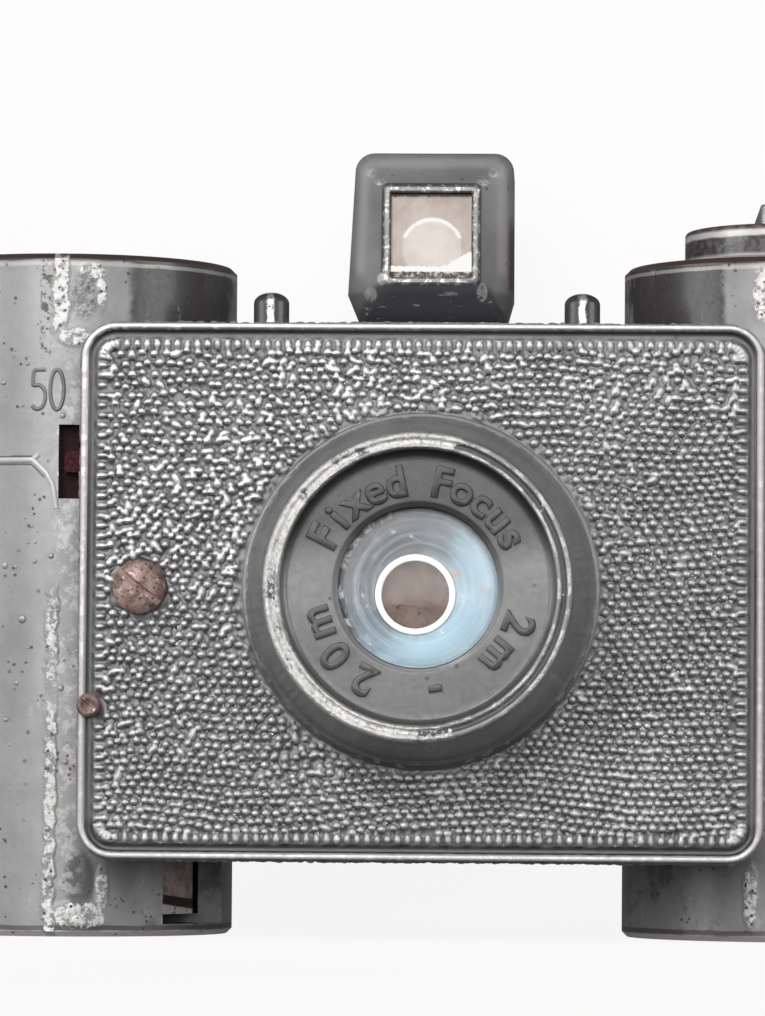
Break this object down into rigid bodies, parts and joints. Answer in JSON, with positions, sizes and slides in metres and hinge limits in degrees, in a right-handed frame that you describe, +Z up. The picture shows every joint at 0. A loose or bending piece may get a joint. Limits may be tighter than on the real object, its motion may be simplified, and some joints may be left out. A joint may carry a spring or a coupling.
{
  "type": "subminiature camera",
  "caption": "Pocket-size roll-film camera: two film drums joined by a shallow box with a pebbled front, a lens cone, a hood finder and a winding knob.",
  "frame": {"origin": "on the plane the two drums stand on, under the middle of the overall box, straight below the lens axis", "axes": "+Z up along the drums, -Y the way the lens looks, +X towards the winding knob"},
  "size_m": [0.0728, 0.041, 0.0547],
  "materials": {
    "black_paint": "worn satin black enamel on die-cast metal",
    "steel": "plain, slightly dull",
    "rusty_steel": "browned by rust",
    "brass": "dull",
    "blue_metal": "blue-grey satin",
    "bright_metal": "bright",
    "brown_metal": "dull red-brown",
    "clear_glass": "polished",
    "ruby_plastic": "clear deep red",
    "black_plastic": "moulded",
    "film": "film and backing paper"
  },
  "bodies": {
    "camera_body": {"body_casting": "black_paint", "front_cover": "black_paint", "finder_housing": "black_paint", "lever_pivot": "steel", "blade_pivot": "steel", "shutter_spring": "steel", "shutter_board": "steel", "board_screw_1": "steel", "board_screw_2": "steel", "finder_screw_left": "steel", "finder_screw_right": "steel", "latch_spring_left": "steel", "latch_spring_right": "steel", "knob_washer": "steel", "click_spring": "steel", "take_up_pivot": "steel", "supply_lower_pivot": "steel", "supply_upper_pivot": "steel", "brake_rivet": "steel", "cover_screw": "rusty_steel", "anchor_pin": "rusty_steel", "brake_spring": "rusty_steel", "lens_retainer": "brass", "shaft_bush": "brass", "aperture_stop": "blue_metal", "stop_eyelet": "bright_metal", "lens_element": "clear_glass", "finder_front_lens": "clear_glass", "finder_eyepiece": "clear_glass", "film_strip": "film"},
    "winder": {"wind_knob": "black_paint", "wind_shaft": "steel", "ratchet_wheel": "brass", "take_up_spool": "black_plastic", "take_up_coil": "film"},
    "supply": {"supply_spool": "black_plastic", "film_roll": "film"},
    "lever": {"shutter_lever": "brown_metal"},
    "blade": {"shutter_blade": "brass"},
    "latch_left": {"latch_pin_left": "black_paint"},
    "latch_right": {"latch_pin_right": "black_paint"},
    "back": {"back_cover": "black_paint", "ruby_window": "ruby_plastic", "pressure_plate": "steel", "pressure_spring": "steel"}
  },
  "joints": [
    {"name": "wind_turn", "type": "hinge", "parent": "camera_body", "child": "winder", "pos_m": [0.02493, 0.008, 0.046], "axis": [0, 0, 1], "continuous": true},
    {"name": "supply_turn", "type": "hinge", "parent": "camera_body", "child": "supply", "pos_m": [-0.02493, 0.008, 0.023], "axis": [0, 0, 1], "continuous": true},
    {"name": "lever_swing", "type": "hinge", "parent": "camera_body", "child": "lever", "pos_m": [-0.0132, -0.0103, 0.0319], "axis": [0, 1, 0], "range_deg": [-8, 8]},
    {"name": "blade_swing", "type": "hinge", "parent": "camera_body", "child": "blade", "pos_m": [-0.0018, -0.0095, 0.0303], "axis": [0, 1, 0], "range_deg": [-40, 40]},
    {"name": "latch_left_press", "type": "slide", "parent": "camera_body", "child": "latch_left", "axis": [0, 0, -1], "range_m": [0, 0.0016], "deforming": ["latch_spring_left"]},
    {"name": "latch_right_press", "type": "slide", "parent": "camera_body", "child": "latch_right", "axis": [0, 0, -1], "range_m": [0, 0.0016], "deforming": ["latch_spring_right"]},
    {"name": "back_off", "type": "slide", "parent": "camera_body", "child": "back", "axis": [0, 1, 0], "range_m": [0, 0.03]}
  ],
  "couplings": [
    {"joint": "supply_turn", "follows": "wind_turn", "ratio": 0.5909},
    {"joint": "blade_swing", "follows": "lever_swing", "ratio": -4.9}
  ]
}
